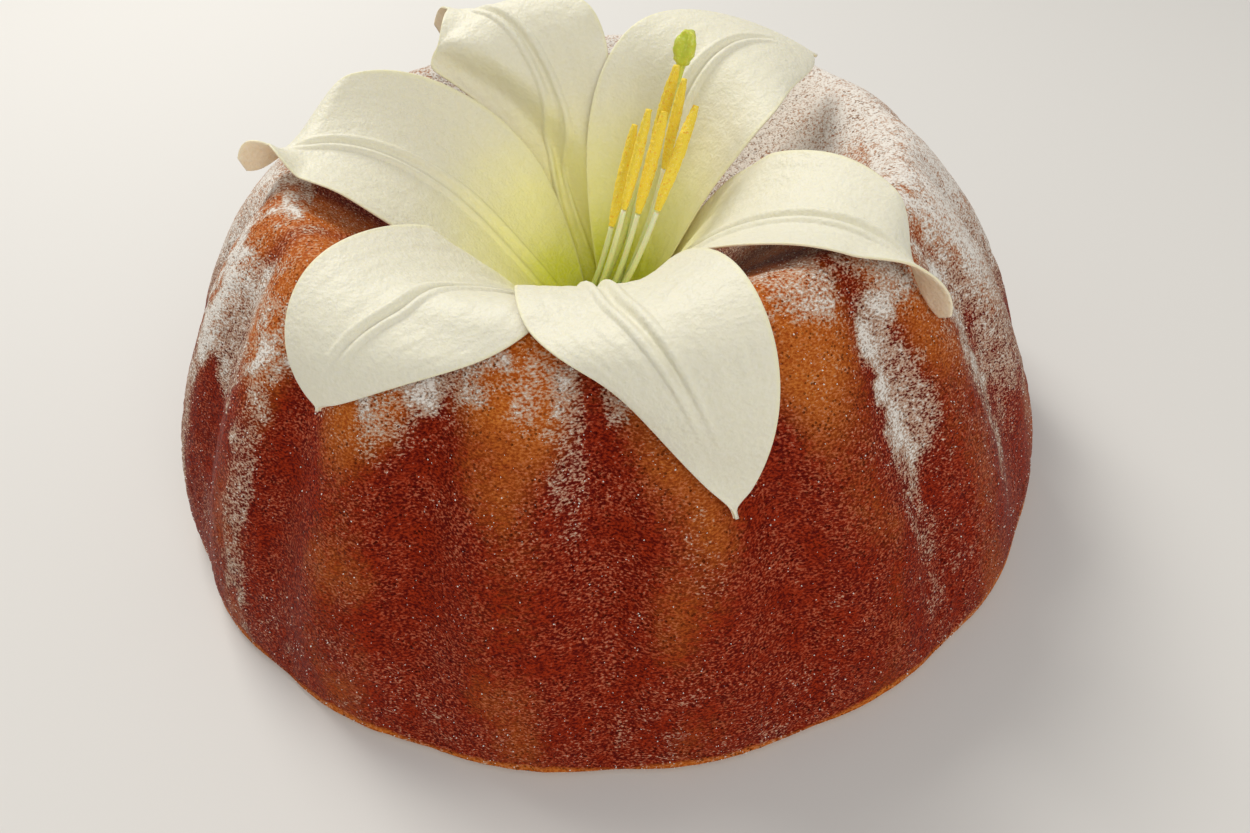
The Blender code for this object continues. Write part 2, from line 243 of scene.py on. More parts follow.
def skin_profile(count):
    """The cut in radius and height: one rounded corner up the flank, one down the funnel, then the tube's
    wall, averaged along its length until the ridge between the two corners is soft."""
    out, up = superellipse(200, FLANK_ROUNDING)
    flank = np.stack([RIDGE_RADIUS + (BASE_RADIUS - RIDGE_RADIUS) * out, RIDGE_HEIGHT * up], -1)
    down, inward = superellipse(100, FUNNEL_ROUNDING)
    funnel = np.stack([RIDGE_RADIUS - (RIDGE_RADIUS - HOLE_TOP_RADIUS) * inward,
                       HOLE_TOP_HEIGHT + (RIDGE_HEIGHT - HOLE_TOP_HEIGHT) * down], -1)
    wall = np.array([(HOLE_FOOT_RADIUS + HOLE_FLARE, HOLE_TOP_HEIGHT / 2), (HOLE_FOOT_RADIUS, EDGE_ROUND)])
    path = evenly(np.concatenate([flank, funnel[1:], wall]), 400)
    step = np.linalg.norm(path[1] - path[0])
    for _ in range(int(2 * (RIDGE_SOFTNESS / step) ** 2)):
        path[1:-1] = (path[:-2] + 2 * path[1:-1] + path[2:]) / 4
    return evenly(path, count)


def waves(azimuth, terms):
    """The sum of sines round the ring, each with its number of waves, its size and its start."""
    return sum(size * np.sin(number * azimuth + start) for number, size, start in terms)


def flutes(azimuth):
    """1 on the crest of each lobe and below -1 in the furrow: a cosine with a little of its double."""
    turn = LOBES * (azimuth - LOBE_TURN)
    return np.cos(turn) - FURROW_NARROWING * np.cos(2 * turn)


def lobe_relief(azimuth, radius, height):
    """How far the skin stands out: the flutes, deeper on the shoulder and gone at the ridge, and slow
    waves round the ring, both fading with the eighth power of the height."""
    up = np.clip(height / RIDGE_HEIGHT, 0, 1)
    crown = 1 - up ** CROWN_FADE
    deepening = np.sin(np.pi / 2 * np.clip(up / SHOULDER_SHARE, 0, 1))
    depth = LOBE_DEPTH_BASE + (LOBE_DEPTH_SHOULDER - LOBE_DEPTH_BASE) * deepening
    fluted = depth * flutes(azimuth) * (1 + waves(azimuth, LOBE_VARIATION)) * (radius > RIDGE_RADIUS)
    return crown * (fluted + waves(azimuth, UNEVENNESS) * np.clip(height / UNEVEN_FROM, 0, 1))


def ease(x):
    """Rises smoothly from 0 to 1 as x goes from 0 to 1: 3x squared less 2x cubed."""
    x = np.clip(x, 0, 1)
    return x * x * (3 - 2 * x)


def grain(points, size, seed):
    """Smooth noise from -1 to 1: random values on a cubic lattice of a size in metres, blended between
    the eight corners round each point by eased weights."""
    lattice = np.random.default_rng(seed).uniform(-1, 1, (LATTICE, LATTICE, LATTICE))
    places = points / size
    corner = np.floor(places).astype(int)
    weight = ease(places - corner)
    total = np.zeros(points.shape[:-1])
    for step in np.ndindex(2, 2, 2):
        share = np.where(step, weight, 1 - weight).prod(-1)
        total += share * lattice[tuple(np.moveaxis((corner + step) % LATTICE, -1, 0))]
    return total


def ring_faces(rings, around, closed):
    """Triangles between rings of points; closed joins the last ring to the first."""
    i, j = np.meshgrid(np.arange(rings if closed else rings - 1), np.arange(around), indexing="ij")
    beyond, beside = (i + 1) % rings, (j + 1) % around
    a, b, c, d = i * around + j, i * around + beside, beyond * around + beside, beyond * around + j
    return np.concatenate([np.stack([a, b, c], -1).reshape(-1, 3), np.stack([a, c, d], -1).reshape(-1, 3)])


def add_piece(name, points, faces, finish, stands_for):
    """Puts arrays of points and triangles into a smooth mesh that rides on the cake."""
    mesh = bpy.data.meshes.new(name)
    mesh.vertices.add(len(points))
    mesh.vertices.foreach_set("co", points.astype(np.float32).ravel())
    mesh.loops.add(faces.size)
    mesh.loops.foreach_set("vertex_index", faces.astype(np.int32).ravel())
    mesh.polygons.add(len(faces))
    mesh.polygons.foreach_set("loop_start", np.arange(0, faces.size, 3, dtype=np.int32))
    mesh.update(calc_edges=True)
    mesh.shade_smooth()
    mesh.materials.append(finish.material)
    piece = bpy.data.objects.new(name, mesh)
    bpy.context.scene.collection.objects.link(piece)
    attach(piece, "root")
    if stands_for:
        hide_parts(*stands_for)
    return piece


def add_amounts(piece, name, amounts):
    """Keeps one number for each point of a piece, for its finish to read."""
    kept = piece.data.attributes.new(name, "FLOAT", "POINT")
    kept.data.foreach_set("value", amounts.astype(np.float32).ravel())


def grid_normals(points):
    """The outward unit normal on a grid of rings that is closed both ways: the cross product of the
    steps along the rings and from ring to ring."""
    along = np.roll(points, -1, 0) - np.roll(points, 1, 0)
    around = np.roll(points, -1, 1) - np.roll(points, 1, 1)
    normal = np.cross(around, along)
    return normal / np.linalg.norm(normal, axis=-1, keepdims=True)


skin = skin_profile(SKIN_ROWS)
skin[0, 1] = EDGE_ROUND
inner_foot, outer_foot = HOLE_FOOT_RADIUS + EDGE_ROUND, BASE_RADIUS - EDGE_ROUND
underside = np.stack([np.linspace(inner_foot, outer_foot, UNDERSIDE_ROWS), np.zeros(UNDERSIDE_ROWS)], -1)
profile = np.concatenate([skin, underside])
round_azimuth = np.linspace(0, 2 * np.pi, ROUND_STEPS, endpoint=False)
ring_radius, ring_height = (np.repeat(values[:, None], ROUND_STEPS, 1) for values in profile.T)
ring_azimuth = np.broadcast_to(round_azimuth, ring_radius.shape)
ring_radius = ring_radius + lobe_relief(ring_azimuth, ring_radius, ring_height)
cake_points = np.stack([ring_radius * np.cos(ring_azimuth), ring_radius * np.sin(ring_azimuth),
                        ring_height], -1)
cake_normals = grid_normals(cake_points)
on_skin = (np.arange(len(profile)) < SKIN_ROWS)[:, None] * np.ones(ROUND_STEPS)

# The crust's relief: soft swellings, and leathery wrinkles where the batter's foam collapsed
SWELLING_SIZE, SWELLING_HEIGHT = 13 * MM, 0.30 * MM
WRINKLE_SIZE, WRINKLE_HEIGHT = 3.4 * MM, 0.70 * MM
WRINKLED_UP_TO = 40 * MM
SMOOTH_HEM = 4 * MM
wrinkled = ease(0.5 + 1.1 * grain(cake_points, 26 * MM, 3) + 0.5 * (1 - ring_height / WRINKLED_UP_TO))
swelling = SWELLING_HEIGHT * grain(cake_points, SWELLING_SIZE, 1)
folds = WRINKLE_HEIGHT * (0.5 - np.abs(grain(cake_points, WRINKLE_SIZE, 2))) * (0.35 + 0.65 * wrinkled)
cake_relief = (swelling + folds) * ease(ring_height / SMOOTH_HEM) * on_skin
cake_points = cake_points + cake_relief[..., None] * cake_normals

# How much icing sugar lies at each place, plus a painted highlight on the wrinkle crests near the hem: most
# where the crust faces up, more at the back and the sides than in front, and in patches; each patch is its
# azimuth, height, reach each way (degrees, mm) and share
SUGAR_PATCHES = (
    (-34, 52, 2.4, 30, 0.38), (-50, 62, 3.6, 15, 0.46), (-53, 45, 2.2, 22, 0.34),
    (-59, 83, 7.0, 4, 0.36), (-44, 79, 4.0, 5, 0.36), (-16, 60, 16.0, 30, 0.42),
    (-80, 47, 1.8, 8, 0.30), (-88, 74, 1.8, 4, 0.46), (-94, 66, 1.8, 13, 0.36),
    (-98, 77, 3.2, 5, 0.40), (-110, 78, 6.0, 6, 0.56), (-117, 72, 4.0, 9, 0.46),
    (-127, 73, 6.0, 7, 0.42), (-138, 50, 2.4, 34, 0.50), (-152, 66, 10.0, 13, 0.66),
    (-160, 42, 3.0, 30, 0.56), (-175, 66, 10.0, 20, 0.56), (-120, 38, 2.0, 16, 0.18),
    (-100, 55, 14.0, 20, 0.08),
)
SIEVED_FROM = np.radians(70)
PATCHES_FROM = RIDGE_RADIUS - 6 * MM
facing_up = cake_normals[..., 2]
sieved = 0.5 + 0.5 * np.cos(ring_azimuth - SIEVED_FROM)
clouds = 0.5 * grain(cake_points, 11 * MM, 4) + 0.5 * grain(cake_points, 5 * MM, 5)
ragged = grain(cake_points, 3.5 * MM, 8)
dusting_and_crest_glint = 1.10 * ease((facing_up - 0.15) / 0.70) * (0.20 + 0.80 * sieved) + 0.16 * sieved
for azimuth, height, wide, tall, share in SUGAR_PATCHES:
    away = (np.degrees(ring_azimuth) - azimuth + 180) % 360 - 180
    away = np.hypot(away / wide, (ring_height / MM - height) / tall) + 0.4 * clouds + 0.5 * ragged
    dusting_and_crest_glint = dusting_and_crest_glint + share * ease(1.6 - away) * (ring_radius > PATCHES_FROM)
# Painted highlight: the wrinkle crests near the hem are given a pale sugar film where they would catch the
# light
crest_glint = ease(folds / (0.3 * WRINKLE_HEIGHT)) * wrinkled * ease(1.2 - ring_height / WRINKLED_UP_TO)
dusting_and_crest_glint = np.clip(dusting_and_crest_glint + 0.22 * clouds + 0.36 * crest_glint - 0.09, 0, 1) * on_skin

# How well each place is baked: red-brown on the flank, golden towards the ridge and at the hem; and
# painted shade across the flutes, golden on each crest and darker red in each furrow
BAKED_CLOUDS = ((26 * MM, 0.12, 6), (10 * MM, 0.14, 7))
GOLDEN_FROM, GOLDEN_RISE = 50 * MM, 34 * MM
PALE_HEM = 1.8 * MM
# Painted shade: the flutes term darkens the furrows towards red and lightens the crests towards gold
baked_and_furrow_shade = 0.84 - 0.20 * flutes(ring_azimuth) - 0.55 * ease((ring_height - GOLDEN_FROM) / GOLDEN_RISE)
for size, share, seed in BAKED_CLOUDS:
    baked_and_furrow_shade = baked_and_furrow_shade + share * grain(cake_points, size, seed)
baked_and_furrow_shade = baked_and_furrow_shade - 0.75 * ease(1.6 - ring_height / PALE_HEM)
baked_and_furrow_shade = np.where(on_skin > 0, np.clip(baked_and_furrow_shade, 0, 1), 0)

# The crust's colours: a low and a high one of each, between which its fine grain wanders
GRAIN_STRETCH = (1.0, 1.0, 1.8)
GOLD_LOW, GOLD_HIGH = (0.36, 0.068, 0.006), (0.60, 0.185, 0.028)
RED_LOW, RED_HIGH = (0.088, 0.0016, 0.0004), (0.32, 0.026, 0.004)
CRUMB = (0.62, 0.43, 0.20)
# PORE_SHADE is painted shade: the near-black that darkens the pores' dents
PORE_SHADE = (0.05, 0.003, 0.001)
# SHEEN is a painted highlight: a pale pink laid on the tops of the grain
SHEEN = (0.50, 0.17, 0.09)
SUGAR = (0.80, 0.76, 0.70)
DAMP_SUGAR = (0.56, 0.39, 0.27)

crust = Finish("baked_crust", Specular_IOR_Level=0.05)
bake_and_furrow_shade = crust.attribute("baked_and_furrow_shade")
dust_and_crest_glint = crust.attribute("dusting_and_crest_glint")
skin_share = crust.attribute("on_skin")
lying = crust.node("ShaderNodeMapping", {}, {"Vector": crust.place(), "Scale": GRAIN_STRETCH})
freckles = crust.noise(1.7 * MM, 3.0, lying)
fine_grain = crust.noise(0.65 * MM, 2.0, lying)
# Painted highlight: pale pink specks on the fine grain's tops, in broad clouds, stand in for the crust's
# shine
sheen = fine_grain.between(0.52, 0.66) * crust.noise(8 * MM, 2.0).between(0.35, 0.60)
pores = crust.cells(0.95 * MM).between(0.34, 0.08) * crust.noise(4 * MM).between(0.40, 0.60)
depth = bake_and_furrow_shade + (freckles - 0.5) * 0.35
grainy = (fine_grain * 0.75 + freckles * 0.25).between(0.36, 0.64)
lower = crust.mix(depth.between(0.25, 0.75), GOLD_LOW, RED_LOW)
higher = crust.mix(depth.between(0.25, 0.75), GOLD_HIGH, RED_HIGH)
colour = crust.mix(grainy, lower, higher)
colour = crust.mix(sheen * 0.6, colour, SHEEN)
# Painted shade: the pores are darkened in their dents
colour = crust.mix(pores * 0.6, colour, PORE_SHADE)
colour = crust.mix(skin_share, crust.mix(pores * 0.35, CRUMB, GOLD_HIGH), colour)
# The dusting attribute also carries the painted highlight on the wrinkle crests, so they come out
# sugar-pale
powder = dust_and_crest_glint + (freckles - 0.5) * 0.75 + (fine_grain - 0.5) * 1.5 - pores * 0.25
thin = powder.between(0.36, 0.70) * skin_share
thick = powder.between(0.62, 1.05) * skin_share
colour = crust.mix(thin * 0.75, colour, DAMP_SUGAR)
colour = crust.mix(thick, colour, SUGAR)
crust.feed("Base Color", colour)
crust.feed("Roughness", 0.36 + freckles * 0.22 + thin * 0.30)
crust.relief(freckles * (0.40 * MM) + fine_grain * (0.30 * MM) - pores * (0.35 * MM) + thick * (0.10 * MM))

cake = add_piece("cake_crust", cake_points.reshape(-1, 3), ring_faces(*ring_radius.shape, closed=True),
                 crust, ("cake",))
add_amounts(cake, "baked_and_furrow_shade", baked_and_furrow_shade)
add_amounts(cake, "dusting_and_crest_glint", dusting_and_crest_glint)
add_amounts(cake, "on_skin", on_skin)


# The icing sugar's coarser grains
# Most of the sugar is a powder too fine to see singly, but small clumps that fall through the sieve
# stay as bright specks all over the crust.
CLUMPS = 15000
CLUMP_SIZES = (0.07 * MM, 0.21 * MM)
CLUMP_DULL, CLUMP_BRIGHT = (0.80, 0.74, 0.66), (0.94, 0.92, 0.88)
rng = np.random.default_rng(11)
sprinkle = (0.10 + dusting_and_crest_glint * (1.2 - dusting_and_crest_glint)) * on_skin * ring_radius
sprinkle = sprinkle[:-1] / sprinkle[:-1].sum()
row, step = np.unravel_index(rng.choice(sprinkle.size, CLUMPS, p=sprinkle.ravel()), sprinkle.shape)
here, above = cake_points[row, step], cake_points[row + 1, step]
beside = cake_points[row, (step + 1) % ROUND_STEPS]
share = rng.uniform(0, 1, (CLUMPS, 2, 1))
size = CLUMP_SIZES[0] + (CLUMP_SIZES[1] - CLUMP_SIZES[0]) * rng.uniform(0, 1, (CLUMPS, 1)) ** 2.5
middle = here + share[:, 0] * (above - here) + share[:, 1] * (beside - here)
middle = middle + 0.4 * size * cake_normals[row, step]
frames = np.linalg.qr(rng.normal(size=(CLUMPS, 3, 3)))[0]
frames[:, :, 0] *= np.sign(np.linalg.det(frames))[:, None]
arms = frames * size[..., None] * rng.uniform(0.7, 1.3, (CLUMPS, 1, 3))
arms = np.moveaxis(arms, 2, 1)
clump_points = middle[:, None] + np.concatenate([arms, -arms], 1)
octants = np.array([(0, 1, 2), (1, 3, 2), (3, 4, 2), (4, 0, 2), (1, 0, 5), (3, 1, 5), (4, 3, 5), (0, 4, 5)])
clump_faces = (6 * np.arange(CLUMPS)[:, None, None] + octants).reshape(-1, 3)
sugar_clump = Finish("sugar_clump", Roughness=0.5)
sparkle = sugar_clump.noise(0.4 * MM)
sugar_clump.feed("Base Color", sugar_clump.mix(sparkle, CLUMP_DULL, CLUMP_BRIGHT))
add_piece("sugar_clumps", clump_points.reshape(-1, 3), clump_faces, sugar_clump, ())


# The lily's stalk and cup
# A short cut stalk of fleshy green, which stands in the cake's hole and swells into the cup that the
# petals and the stamens grow from.
STALK = ((3.4, 0.0), (3.4, 18.0), (4.6, 23.0), (8.2, 27.5), (10.9, 30.6), (10.9, 31.5),
         (8.8, 31.9), (8.4, 35.0), (6.6, 38.4), (4.2, 39.6))
STALK_RIBS, STALK_RIB_SHARE = 8, 0.02
STALK_SIDES, STALK_STEPS = 64, 100
STALK_GREEN = (0.16, 0.25, 0.05)
STALK_PALE = (0.42, 0.52, 0.17)


def add_round(name, rings, start, end, finish, slot, stands_for):
    """A closed round piece from rings of points, with a fan of triangles at each end."""
    count, sides = rings.shape[:2]
    points = np.concatenate([rings.reshape(-1, 3), [start, end]])
    k = np.arange(sides)
    after = (k + 1) % sides
    last = (count - 1) * sides
    foot, top = (np.full(sides, len(points) - place) for place in (2, 1))
    caps = [np.stack([foot, after, k], -1), np.stack([top, last + k, last + after], -1)]
    faces = np.concatenate([ring_faces(count, sides, closed=False)] + caps)
    return add_piece(name, points, faces, finish, stands_for)


def stalk_rings(sides, steps):
    """The stalk's profile, with points added between its own, turned round the upright axis and lightly
    ribbed by a cosine."""
    corners = np.array(STALK) * MM
    height = np.linspace(0, len(corners) - 1, steps)
    radius, up = (np.interp(height, np.arange(len(corners)), values)[:, None] for values in corners.T)
    turn = np.linspace(0, 2 * np.pi, sides, endpoint=False)
    radius = radius * (1 - STALK_RIB_SHARE * (1 + np.cos(STALK_RIBS * turn)))
    return np.stack([radius * np.cos(turn), radius * np.sin(turn), up + 0 * turn], -1)


stalk_flesh = Finish("stalk_flesh", Roughness=0.45, Subsurface_Weight=0.1, Subsurface_Scale=2 * MM)
streaks = stalk_flesh.noise(1.2 * MM, 3.0)
stalk_flesh.feed("Base Color", stalk_flesh.mix(streaks.between(0.3, 0.7), STALK_GREEN, STALK_PALE))
stalk_flesh.relief(streaks * (0.15 * MM))
rings = stalk_rings(STALK_SIDES, STALK_STEPS)
stalk_ends = [(0, 0, rings[end, 0, 2]) for end in (0, -1)]
add_round("lily_stalk", rings, *stalk_ends, stalk_flesh, "stalk", ("stalk",))


# The petals
# Six thick waxy petals, cream white and green-yellow in the throat, each with a double ridge along its
# middle. Three lie on top; the other three are tucked under them and rest on the cake's crown.
FOOT = (10.8 * MM, 32.4 * MM)
FOOT_HALF_WIDTH = 7.9 * MM
LEAN = -15.6 * MM
WRAP_LIMIT = 1.15
ROLL_FROM = 0.76
SETTLE_SHARE = 0.35
PETAL_THICK = 0.9 * MM
LAYER_STEP = {"inner": -1.0 * MM, "outer": 1.0 * MM}
LAYER_GAP = 1.6 * MM
LAYER_ROUNDS = 4
LAY_ROUNDS = 16
INNER_CLEAR = 3.8 * MM
OUTER_CLEAR = 1.4 * MM
PETAL_GRID = (41, 81)
FINE_GRID = (121, 241)
RIDGE_WIDTH, GROOVE_WIDTH = 0.65 * MM, 1.1 * MM
RIDGE_RISE, GROOVE_DEPTH = 1.0 * MM, 0.55 * MM
VEIN_RISE, RIM_RISE = 0.035 * MM, 0.12 * MM

# Each petal: its heading in degrees at the foot, further up and at the tip; its midrib's handles in
# radius and height and its half-width, in mm; where along it is widest and how blunt it is; its hollow
# at the foot and the tip, its tilt and how much wider one side is; the finger's half-width in mm and
# where along the blade ends; and the tip's roll in degrees
PETALS = {
    "petal_left": dict(layer="inner", turns=(165, 150, 176), grip=(44, 86), crest=(58, 94), tip=(82, 88),
                       width=26, widest=0.46, blunt=0.70, cup=(-0.22, 0.37), tilt=-0.37, bias=-0.10,
                       finger=(5.6, 0.88), roll=80),
    "petal_front": dict(layer="inner", turns=(285, 260, 286), grip=(37, 78), crest=(89, 124), tip=(85, 54),
                        width=17, widest=0.53, blunt=0.66, cup=(0.23, -0.06), tilt=0.52, bias=0.08,
                        finger=(1.0, 0.98), roll=0),
    "petal_back_right": dict(layer="inner", turns=(45, 53, 37), grip=(34, 93), crest=(35, 114),
                             tip=(76, 91), width=25, widest=0.49, blunt=0.65, cup=(0.05, -0.12),
                             tilt=0.37, bias=0.02, finger=(1.0, 0.985), roll=0),
    "petal_front_left": dict(layer="outer", turns=(225, 249, 227), grip=(32, 82), crest=(77, 102),
                             tip=(82, 67), width=25, widest=0.47, blunt=0.70, cup=(0.38, -0.08),
                             tilt=-0.28, bias=0.07, finger=(1.2, 0.985), roll=0),
    "petal_right": dict(layer="outer", turns=(345, 322, 327), grip=(20, 81), crest=(66, 107), tip=(85, 71),
                        width=20, widest=0.46, blunt=1.04, cup=(0.19, 0.13), tilt=0.17, bias=0.17,
                        finger=(4.6, 0.89), roll=-80),
    "petal_back": dict(layer="outer", turns=(105, 95, 125), grip=(31, 98), crest=(42, 120), tip=(69, 100),
                       width=20, widest=0.68, blunt=1.16, cup=(0.07, -0.14), tilt=-0.28, bias=-0.01,
                       finger=(5.2, 0.88), roll=80),
}


def bezier(t, handles):
    """The cubic curve from the first of four points to the last."""
    t = t[..., None]
    a, b, c, d = np.array(handles)
    return (1 - t) ** 3 * a + 3 * (1 - t) ** 2 * t * b + 3 * (1 - t) * t ** 2 * c + t ** 3 * d


def petal_half_width(t, width, widest, blunt, finger):
    """A narrow foot that dies out as (1 - t) squared, a blade like a sine arch whose top is moved to
    where the petal is widest, and a small finger at the tip."""
    blade = np.clip(t / finger[1], 0, 1) ** (np.log(0.5) / np.log(widest))
    bulge = np.clip(np.sin(np.pi * blade), 0, 1) ** blunt
    narrowing = 1 - 0.65 * np.clip((t - 0.85) / 0.15, 0, 1) ** 4
    tip = finger[0] * MM * ease((t - 0.5) / 0.4) * narrowing
    return tip + FOOT_HALF_WIDTH * (1 - t) ** 2 + width * MM * bulge


def petal_sheet(s, t, layer, turns, grip, crest, tip, width, widest, blunt, cup, tilt, bias, finger,
                roll):
    """A petal's middle surface at s across (-1 to 1) and t along (0 to 1): the midrib is a cubic curve in
    radius and height, the width wraps round the lily's leaning axis, and the hollow across (s squared)
    and the tilt (s) lift it along the curve's normal."""
    handles = [FOOT] + [(radius * MM, height * MM) for radius, height in (grip, crest, tip)]
    middle = bezier(t, handles)
    along = bezier(np.clip(t + 0.002, 0, 1), handles) - bezier(np.clip(t - 0.002, 0, 1), handles)
    along /= np.linalg.norm(along, axis=-1, keepdims=True)
    half = petal_half_width(t, width, widest, blunt, finger) * (1 + bias * s)
    hollow = (cup[0] * (1 - t) + cup[1] * t) * ease(t / 0.25)
    rolled = np.radians(roll) * ease((t - ROLL_FROM) / (1 - ROLL_FROM))
    lift = half * (hollow * s ** 2 + tilt * t * s * np.cos(rolled) + np.sin(rolled) * s)
    lift = lift - LAYER_STEP[layer] * (1 - t)
    radius = middle[..., 0] - lift * along[..., 1]
    height = middle[..., 1] + lift * along[..., 0]
    at_foot, further_up, at_tip = turns
    settle = np.clip(1 - t / SETTLE_SHARE, 0, 1) ** 2
    heading = np.radians(further_up + (at_tip - further_up) * t + (at_foot - further_up) * settle)
    wrap = half * np.cos(rolled) / np.maximum(middle[..., 0], 1 * MM)
    azimuth = heading + WRAP_LIMIT * np.tanh(wrap / WRAP_LIMIT) * s
    lean = LEAN * (1 - (1 - t) ** 4)
    return np.stack([radius * np.cos(azimuth), radius * np.sin(azimuth) + lean, height], -1)


def sheet_normals(sheet):
    """The upward unit normal at each point of a sheet: the cross product of its two gradients."""
    normal = np.cross(np.gradient(sheet, axis=0), np.gradient(sheet, axis=1))
    return -normal / np.linalg.norm(normal, axis=-1, keepdims=True)


def soften(field, rounds):
    """Evens out a grid of values by averaging each with its neighbours."""
    for _ in range(rounds):
        wide = np.pad(field, ((1, 1), (1, 1), (0, 0)), mode="edge")
        field = (wide[:-2, 1:-1] + wide[2:, 1:-1] + wide[1:-1, :-2] + wide[1:-1, 2:] + 4 * field) / 8
    return field


def press_under(sheet, upper, gap):
    """Moves a sheet below the sheet that covers it, easing off past the cover's edge."""
    points = sheet.reshape(-1, 3)
    cover, normals = upper.reshape(-1, 3), sheet_normals(upper).reshape(-1, 3)
    nearest = np.concatenate([((block[:, None] - cover) ** 2).sum(-1).argmin(1)
                              for block in np.array_split(points, 12)])
    away = points - cover[nearest]
    above = (away * normals[nearest]).sum(-1)
    aside = np.linalg.norm(away - above[:, None] * normals[nearest], axis=-1)
    reach = np.clip(0.25 * np.hypot(points[:, 0], points[:, 1] - LEAN), 2 * MM, 8 * MM)
    push = np.clip(above + gap, 0, 15 * MM) * ease(1.25 - aside / reach)
    return sheet - 1.1 * soften((push[:, None] * normals[nearest]).reshape(sheet.shape), 10)


def lay_on_cake(sheet, clear):
    """Lifts a sheet along the skin's normal until it is clear of the cake."""
    crust_cut = skin_profile(250)
    run = np.gradient(crust_cut, axis=0)
    normal = np.stack([run[:, 1], -run[:, 0]], -1)
    normal /= np.linalg.norm(normal, axis=1, keepdims=True)
    points = sheet.reshape(-1, 3).copy()
    azimuth = np.arctan2(points[:, 1], points[:, 0])
    out = np.stack([np.cos(azimuth), np.sin(azimuth)], -1)
    relief = np.zeros(len(points))
    for _ in range(5):
        cut = np.stack([np.hypot(points[:, 0], points[:, 1]) - relief, points[:, 2]], -1)
        nearest = ((cut[:, None] - crust_cut) ** 2).sum(-1).argmin(1)
        relief = lobe_relief(azimuth, *crust_cut[nearest].T)
        height_over = ((cut - crust_cut[nearest]) * normal[nearest]).sum(-1)
        push = np.clip(clear - height_over, 0, None)[:, None] * normal[nearest]
        points += np.concatenate([push[:, :1] * out, push[:, 1:]], 1)
    return sheet + soften(points.reshape(sheet.shape) - sheet, LAY_ROUNDS)


def between_rows(coarse, fine):
    """The matrix that reads a smooth curve through coarse points at a finer spacing, by cubic pieces whose
    slope at each point is half the step between its neighbours."""
    places = np.linspace(0, coarse - 1, fine)
    first = np.clip(np.floor(places).astype(int), 0, coarse - 2)
    u = places - first
    weights = np.stack([-u + 2 * u ** 2 - u ** 3, 2 - 5 * u ** 2 + 3 * u ** 3,
                        u + 4 * u ** 2 - 3 * u ** 3, -u ** 2 + u ** 3], -1) / 2
    matrix = np.zeros((fine, coarse))
    for offset in range(4):
        np.add.at(matrix, (np.arange(fine), np.clip(first + offset - 1, 0, coarse - 1)), weights[:, offset])
    return matrix


def petal_relief(s, t, half):
    """The fine form in metres: two ridges beside a groove, which draw together towards the tip, faint
    veins that run lengthwise, and a rim that is a little raised and wavy."""
    aside = half * s
    spacing = (2.6 - 1.5 * t) * MM
    reach = ease(t / 0.12) * ease((0.93 - t) / 0.25)
    ridge = np.exp(-((np.abs(aside) - spacing) / RIDGE_WIDTH) ** 2)
    groove = np.exp(-(aside / GROOVE_WIDTH) ** 2)
    veins = np.cos(26 * s + 2 * np.sin(3 * t)) + 0.6 * np.cos(43 * s + 1.0)
    rim = ease((np.abs(s) - 0.86) / 0.14) * ease(t / 0.3) * ease((1 - t) / 0.1)
    ripple = np.sin(17 * t + 3 * np.sign(s)) + 0.6 * np.sin(31 * t + np.sign(s))
    lengthwise = RIDGE_RISE * ridge - GROOVE_DEPTH * groove + VEIN_RISE * veins
    return reach * lengthwise + RIM_RISE * rim * ripple


def add_petal(name, sheet):
    """A thin closed solid round a sheet, thinner towards its rim, with s and t kept as its UV map."""
    across, along = FINE_GRID
    s, t = np.meshgrid(np.linspace(-1, 1, across), np.linspace(0, 1, along), indexing="ij")
    fine = between_rows(PETAL_GRID[0], across) @ np.moveaxis(sheet, 2, 0)
    fine = np.moveaxis(fine @ between_rows(PETAL_GRID[1], along).T, 0, 2)
    normals = sheet_normals(fine)
    half = np.linalg.norm(fine[-1] - fine[0], axis=-1)[None] / 2
    fine = fine + petal_relief(s, t, half)[..., None] * normals
    normals = sheet_normals(fine)
    thick = PETAL_THICK / 2 * (0.35 + 0.65 * np.sqrt(np.clip(1 - np.abs(s) ** 5, 0, 1)))[..., None]
    points = np.concatenate([(fine + side * thick * normals).reshape(-1, 3) for side in (1, -1)])
    lower = across * along
    grid = np.arange(lower).reshape(across, along)
    a, b = grid[:-1, :-1].ravel(), grid[1:, :-1].ravel()
    top = np.concatenate([np.stack([a, b + 1, b], -1), np.stack([a, a + 1, b + 1], -1)])
    rim = np.concatenate([grid[0, :-1], grid[:-1, -1], grid[-1, :0:-1], grid[:0:-1, 0]])
    after = np.roll(rim, -1)
    edge = [np.stack([rim, rim + lower, after + lower], -1), np.stack([rim, after + lower, after], -1)]
    faces = np.concatenate([top, top[:, ::-1] + lower] + edge)
    petal = add_piece("lily_" + name, points, faces, petal_flesh, (name,))
    uv = np.tile(np.stack([s, t], -1).reshape(-1, 2), (2, 1)) * (0.5, 1) + (0.5, 0)
    uv = uv[faces.ravel()].astype(np.float32)
    petal.data.uv_layers.new(name="petal").data.foreach_set("uv", uv.ravel())
    add_amounts(petal, "underneath", np.repeat((0, 1), lower))


